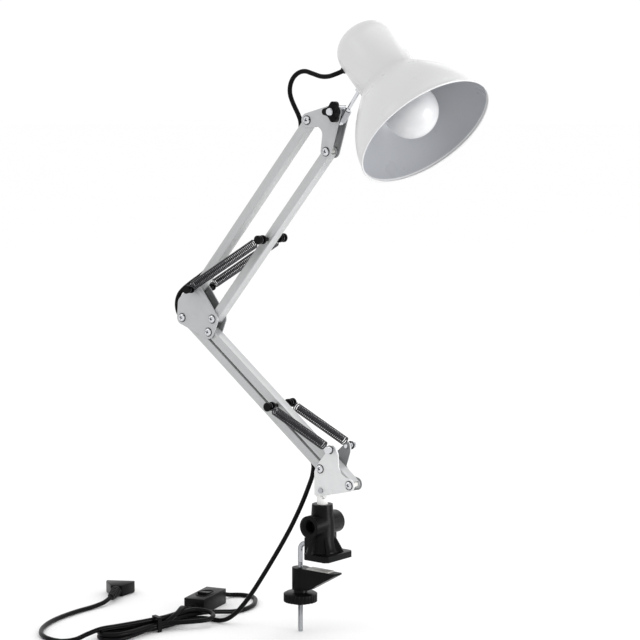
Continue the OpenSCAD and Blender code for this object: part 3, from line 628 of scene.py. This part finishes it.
def add_plug_cord():
    """The free cord from the switch, through one and a half turns of the hank, to the plug."""
    turn = (hank_run(1, HANK_HALF, -HANK_HALF, LAYERS[1], LAYERS[1])
            + hank_fold(-1, 90, 270, LAYERS[1], LAYERS[1])
            + hank_run(-1, -HANK_HALF, HANK_HALF, LAYERS[1], LAYERS[1])
            + hank_fold(1, -90, 90, LAYERS[1], LAYERS[2])
            + hank_run(1, HANK_HALF, 10, LAYERS[2], LAYERS[2])
            + [(-10, 2, LAYERS[2]), (-30, 0.5, LAYERS[2]), (-52, 0, LAYERS[2])])
    route = LEAD_OUT + on_hank(without_joins(turn)) + PLUG_LEAD
    path = above_floor(flowing(route))
    piece = add_tube("plug_cord", path)
    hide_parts("switch_and_plug_leads")
    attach(piece, "root")
    return piece, path


# ---------------------------------------------------------------- springs


def add_spring(name, start, end, side, node, first):
    """A close-wound coil with a hook at each end, from the pin at start to the pin at end.
    """
    wire, coil_r, hook_r, pitch = mm(0.75), mm(4.8), mm(4.3), mm(2.6)
    reach_in, hook_end, per_turn = mm(9), mm(6.6), 16
    axis = (end - start).normalized()
    across = Vector((0, 1, 0))
    up = across.cross(axis)
    origin = start + Vector((0, side * SPRING_Y, 0))
    total = (end - start).length
    turns = round((total - 2 * reach_in) / pitch)
    path = []

    def place(x, y, z):
        return origin + x * axis + y * across + z * up

    def add_hook(centre, first):
        """A ring around a pin, in the plane of the arms."""
        for i in range(15):
            angle = math.radians(first + 320 * i / 14)
            path.append(place(centre + hook_r * math.cos(angle), 0, hook_r * math.sin(angle)))

    add_hook(0, 20)
    path.append(place(hook_end, mm(0.4), mm(0.6)))
    for i in range(turns * per_turn + 1):
        angle = 2 * math.pi * i / per_turn
        along = reach_in + (total - 2 * reach_in) * i / (turns * per_turn)
        path.append(place(along, coil_r * math.sin(angle), coil_r * math.cos(angle)))
    path.append(place(total - hook_end, mm(0.4), mm(0.6)))
    add_hook(total, 200)
    points, faces = swept(path, wire, 8)
    piece = add_mesh(name, points, faces, SPRING_STEEL, smooth=60)
    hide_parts(node)
    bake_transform(piece)


def add_springs():
    """Two springs beside each arm."""
    for word, side in (("near", -1), ("far", 1)):
        add_spring("lower_spring_" + word, BASE_STUD, LOWER_PIN, side,
                   "lower_springs", "base")
        add_spring("upper_spring_" + word, ELBOW_TOP, UPPER_PIN, side,
                   "upper_springs", "elbow")


# ---------------------------------------------------------------- shade and bulb


def bell_r(depth):
    """The bell's outer radius at that depth in from the mouth."""
    mouth_r = MOUTH_R - BELL_INSET
    return NECK_R + (mouth_r - NECK_R) * (1 - (depth / BELL_DEPTH) ** BELL_CURVE)


def skin(inset):
    """The shade's outline from the mouth to the crown, moved in by inset."""
    rows = 40
    outline = [(bell_r(BELL_DEPTH * i / rows) - inset, BELL_DEPTH * i / rows)
               for i in range(rows + 1)]
    top = SHADE_DEPTH - NECK_CORNER
    for i in range(25):
        angle = math.pi / 2 * i / 24
        outline.append((NECK_R - NECK_CORNER + (NECK_CORNER - inset) * math.cos(angle),
                        top + (NECK_CORNER - inset) * math.sin(angle)))
    return outline + [(mm(0.05), SHADE_DEPTH - inset)]


def add_shade():
    """The spun shell with its rolled rim, its inside coloured darker and bluer as painted shade."""
    rim = []
    for i in range(13):
        angle = math.radians(60 - 300 * i / 12)
        rim.append((MOUTH_R - RIM_R + RIM_R * math.cos(angle), RIM_LEVEL + RIM_R * math.sin(angle)))
    # the rim hides the first two rows of each skin
    inner = skin(WALL)[2:]
    outer = skin(0)[2:]
    outline = outer[::-1] + rim + inner
    points, faces = turned(outline, SHADE_SEGMENTS, IN_SHADE)
    piece = add_mesh("shade_shell", points, faces, SHADE_PAINT, smooth=50)
    piece.data.materials.append(INSIDE_SHADOW_PAINT)
    # the faces of the inner skin get the painted shade
    first_inside = len(outer) + len(rim)
    for face in piece.data.polygons:
        if face.index // SHADE_SEGMENTS >= first_inside:
            face.material_index = 1
    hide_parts("shade")
    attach(piece, "shade")


def add_bulb():
    """The frosted globe and its neck, down to the cap."""
    globe_r, globe_z = mm(30), mm(32)
    bottom, top = -89.8, 42
    outline = []
    for i in range(34):
        angle = math.radians(bottom + (top - bottom) * i / 33)
        outline.append((globe_r * math.cos(angle), globe_z + globe_r * math.sin(angle)))
    neck = flowing([(*outline[-2], 0), (*outline[-1], 0), (mm(18.6), mm(59), 0),
                    (mm(15.8), mm(67), 0), (mm(14.5), mm(76), 0), (mm(13.9), mm(88), 0)], 0.0015)
    outline += [(p[0], p[1]) for p in neck[2:]]
    outline += [(mm(13), mm(88)), (mm(13), mm(70))]
    points, faces = turned(outline, 96, IN_SHADE, closed=False)
    piece = add_mesh("bulb_glass", points, faces, BULB_GLASS, smooth=50)
    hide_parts("bulb_globe")
    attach(piece, "shade")


# ---------------------------------------------------------------- clamp bolt


def add_clamp_bolt():
    """The bent rod, plain at the top and with a rolled thread below the jaw."""
    bend, level, thread_top = mm(8), mm(12.5), mm(-10)
    pitch, half_depth, chamfer = mm(1), mm(0.22), mm(0.25)
    rows_a_turn, chamfer_rows, step = 4, 4, 24
    path = [Vector((mm(-8), 0, level)), Vector((BOLT_X + bend, 0, level))]
    for i in range(1, 11):
        angle = math.pi / 2 * (1 + i / 10)
        path.append(Vector((BOLT_X + bend + bend * math.cos(angle), 0,
                            level - bend + bend * math.sin(angle))))
    path.append(Vector((BOLT_X, 0, thread_top)))
    plain = swept(path, BOLT_R, 32)
    rows = round((thread_top - FLOOR_Z) / pitch) * rows_a_turn
    ring = []
    for i in range(rows + 1):
        z = thread_top - (thread_top - FLOOR_Z) * i / rows
        for k in range(step):
            wave = math.cos(2 * math.pi * (i / rows_a_turn + k / step))
            r = BOLT_R - half_depth + half_depth * wave
            if i > rows - chamfer_rows:
                r -= chamfer * (i - rows + chamfer_rows) / chamfer_rows
            angle = 2 * math.pi * k / step
            ring.append(Vector((BOLT_X + r * math.cos(angle), r * math.sin(angle), z)))
    faces = [(i * step + k, i * step + (k + 1) % step, (i + 1) * step + (k + 1) % step,
              (i + 1) * step + k) for i in range(rows) for k in range(step)]
    faces.append(tuple(range(step)))
    faces.append(tuple(rows * step + k for k in range(step))[::-1])
    points, faces = joined([plain, (ring, faces)])
    piece = add_mesh("clamp_bolt_threaded", points, faces, STEEL, smooth=60)
    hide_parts("clamp_bolt")
    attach(piece, "root")


# ---------------------------------------------------------------- plates, screws, plug and switch


def paint_inner_face_shade(plate, inward):
    """The inner face of a side plate, which looks along Y towards the other plate, coloured darker
    as painted shade.
    """
    straight = 0.9
    plate.data.materials.append(INNER_FACE_SHADE)
    for face in plate.data.polygons:
        if face.normal.y * inward > straight:
            face.material_index = 1


def cross_prism(length, width, low, high, matrix):
    """A cross-shaped prism along Z, its arms that long and wide."""
    a, b = length / 2, width / 2
    corners = [(a, b), (b, b), (b, a), (-b, a), (-b, b), (-a, b),
               (-a, -b), (-b, -b), (-b, -a), (b, -a), (b, -b), (a, -b)]
    points = [matrix @ Vector((x, y, z)) for z in (low, high) for x, y in corners]
    count = len(corners)
    faces = [(i, (i + 1) % count, (i + 1) % count + count, i + count) for i in range(count)]
    faces += [tuple(range(count))[::-1], tuple(range(count, 2 * count))]
    return points, faces


def add_screw_shadow_details():
    """A washer under each screw head, dark as painted shadow around the head, and a black cross in
    its slot as painted shadow.
    """
    inner_r, outer_r = mm(4), mm(5.4)
    slot_length, slot_width, slot_turn = mm(5.5), mm(1.2), math.radians(20)
    for body, pivots in (("base", (BASE_REAR, BASE_FRONT)), ("head", (HEAD_REAR, HEAD_FRONT)),
                         ("elbow", (ELBOW_REAR, ELBOW_LOW, ELBOW_FRONT))):
        washers, slot_shadows = [], []
        for pivot in pivots:
            place = Matrix.Translation(pivot) @ Matrix.Rotation(math.radians(90), 4, "X")
            washers.append(turned(
                [(inner_r, PLATE_FACE), (outer_r, PLATE_FACE), (mm(5.3), PLATE_FACE + mm(0.4)),
                 (inner_r, PLATE_FACE + mm(0.45))], 48, place))
            turn = Matrix.Rotation(slot_turn, 4, "Z")
            slot_shadows.append(cross_prism(slot_length, slot_width, PLATE_FACE + mm(1),
                                      PLATE_FACE + mm(1.8), place @ turn))
        # the washers are dark and the slot crosses black, as painted shadow around and inside each
        # screw head
        for name, parts, material in (("screw_shadow_washers_" + body, washers, DARK_STEEL),
                                      ("screw_slot_painted_shadows_" + body, slot_shadows, BLACK_PLASTIC)):
            points, faces = joined(parts)
            piece = add_mesh(name, points, faces, material)
            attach(piece, body)


def add_plug_fittings():
    """Ribs on the plug's strain relief, and the sleeve on the root of each pin."""
    lift = Matrix.Translation(mm(0, 0, 7.5)) @ Matrix.Rotation(math.radians(90), 4, "Y")
    first_rib, rib_pitch, relief_length = 5, 5.4, 34
    thin_end_r, flare = 3.7, 2.8
    pin_y = 9.5
    ribs = []
    for i in range(5):
        at = first_rib + rib_pitch * i
        body_r = thin_end_r + flare * at / relief_length
        outline = [(mm(body_r - 0.6), mm(at)), (mm(body_r + 0.7), mm(at + 0.3)),
                   (mm(body_r + 0.9), mm(at + 1.4)), (mm(body_r + 0.7), mm(at + 2.5)),
                   (mm(body_r - 0.6), mm(at + 2.8))]
        ribs.append(turned(outline, 48, AT_PLUG @ lift))
    points, faces = joined(ribs)
    relief = add_mesh("plug_relief_ribs", points, faces, BLACK_PLASTIC)
    sleeves = []
    for side in (-1, 1):
        place = AT_PLUG @ Matrix.Translation(mm(0, side * pin_y, 0)) @ lift
        sleeves.append(turned([(mm(1.6), mm(59)), (mm(2.25), mm(59)), (mm(2.2), mm(68.6)),
                               (mm(2), mm(69)), (mm(1.6), mm(69))], 40, place))
    points, faces = joined(sleeves)
    sleeve = add_mesh("plug_pin_sleeves", points, faces, GLOSS_BLACK)
    for piece in (relief, sleeve):
        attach(piece, "root")


def add_switch_bezel():
    """The raised oval rim around the rocker."""
    rows, sides = 72, 12
    half_length, half_width, level, rise, widen = 14.4, 10.2, 18.2, 0.9, 0.08
    points = []
    for i in range(rows):
        a = 2 * math.pi * i / rows
        for k in range(sides):
            b = 2 * math.pi * k / sides
            reach = 1 + widen * math.cos(b)
            points.append(AT_SWITCH @ mm(half_length * reach * math.cos(a),
                                         half_width * reach * math.sin(a),
                                         level + rise * math.sin(b)))
    faces = [(i * sides + k, i * sides + (k + 1) % sides,
              (i + 1) % rows * sides + (k + 1) % sides, (i + 1) % rows * sides + k)
             for i in range(rows) for k in range(sides)]
    piece = add_mesh("switch_bezel", points, faces, BLACK_PLASTIC)
    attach(piece, "root")


# ---------------------------------------------------------------- scene

add_camera()
add_studio()
add_arm_cord()
mains_cord, mains_path = add_mains_cord()
plug_cord, plug_path = add_plug_cord()
add_springs()
add_shade()
add_bulb()
add_clamp_bolt()
add_screw_shadow_details()
add_plug_fittings()
add_switch_bezel()

# CAD nodes with eased edges: the material and the width of the easing in millimetres
EASED = [
    ("clamp_body", BLACK_PLASTIC, 0.8), ("lower_jaw", BLACK_PLASTIC, 0.8),
    ("clamp_knob", BLACK_PLASTIC, 0.4), ("jaw_pad", PAD, 0.3),
    ("base_plate_near", LIGHT_PAINT, 0.3), ("base_plate_far", LIGHT_PAINT, 0.3),
    ("elbow_plate_near", GREY_PAINT, 0.3), ("elbow_plate_far", GREY_PAINT, 0.3),
    ("head_plate_near", GREY_PAINT, 0.3), ("head_plate_far", GREY_PAINT, 0.3),
    ("lower_front_bar", SILVER_PAINT, 0.3), ("lower_rear_bar", SILVER_PAINT, 0.3),
    ("upper_front_bar", SILVER_PAINT, 0.3), ("upper_rear_bar", SILVER_PAINT, 0.3),
    ("tilt_knob", BLACK_PLASTIC, 0.6), ("inline_switch", BLACK_PLASTIC, 2.6),
    ("switch_rocker", BLACK_PLASTIC, 0.3), ("mains_plug", BLACK_PLASTIC, 1.2),
]
# CAD nodes shown as they are
CARRIED = {
    "swivel_post": WHITE_PAINT, "base_rivet": STEEL, "base_screws": CHROME,
    "base_nuts": CHROME, "base_spring_studs": CHROME, "lower_spring_pin": DARK_STEEL,
    "lower_spring_spools": BLACK_PLASTIC, "lower_bushes_front": NYLON,
    "lower_bushes_rear": NYLON, "elbow_screws": CHROME, "elbow_nuts": CHROME,
    "elbow_anchor_pin": DARK_STEEL, "elbow_spools": BLACK_PLASTIC, "upper_spring_pin": DARK_STEEL,
    "upper_spring_spools": BLACK_PLASTIC, "upper_bushes_front": NYLON,
    "upper_bushes_rear": NYLON, "head_screws": CHROME, "head_nuts": CHROME,
    "knuckle": STEEL, "tilt_screw": CHROME, "stem": CHROME, "neck_grommet": BLACK_PLASTIC,
    "holder_bracket": STEEL, "lampholder": GLOSS_BLACK, "holder_contacts": BRASS,
    "bulb_cap": CAP_METAL, "cord_tie": BLACK_PLASTIC, "plug_pins": BRASS,
}
for node, material, width in EASED:
    piece = eased(node, material, width)
    # the plates' inner faces get the darker grey as painted shade
    if "_plate_" in node:
        paint_inner_face_shade(piece, 1 if node.endswith("near") else -1)
for node, material in CARRIED.items():
    NODES[node].data.materials.clear()
    NODES[node].data.materials.append(material)
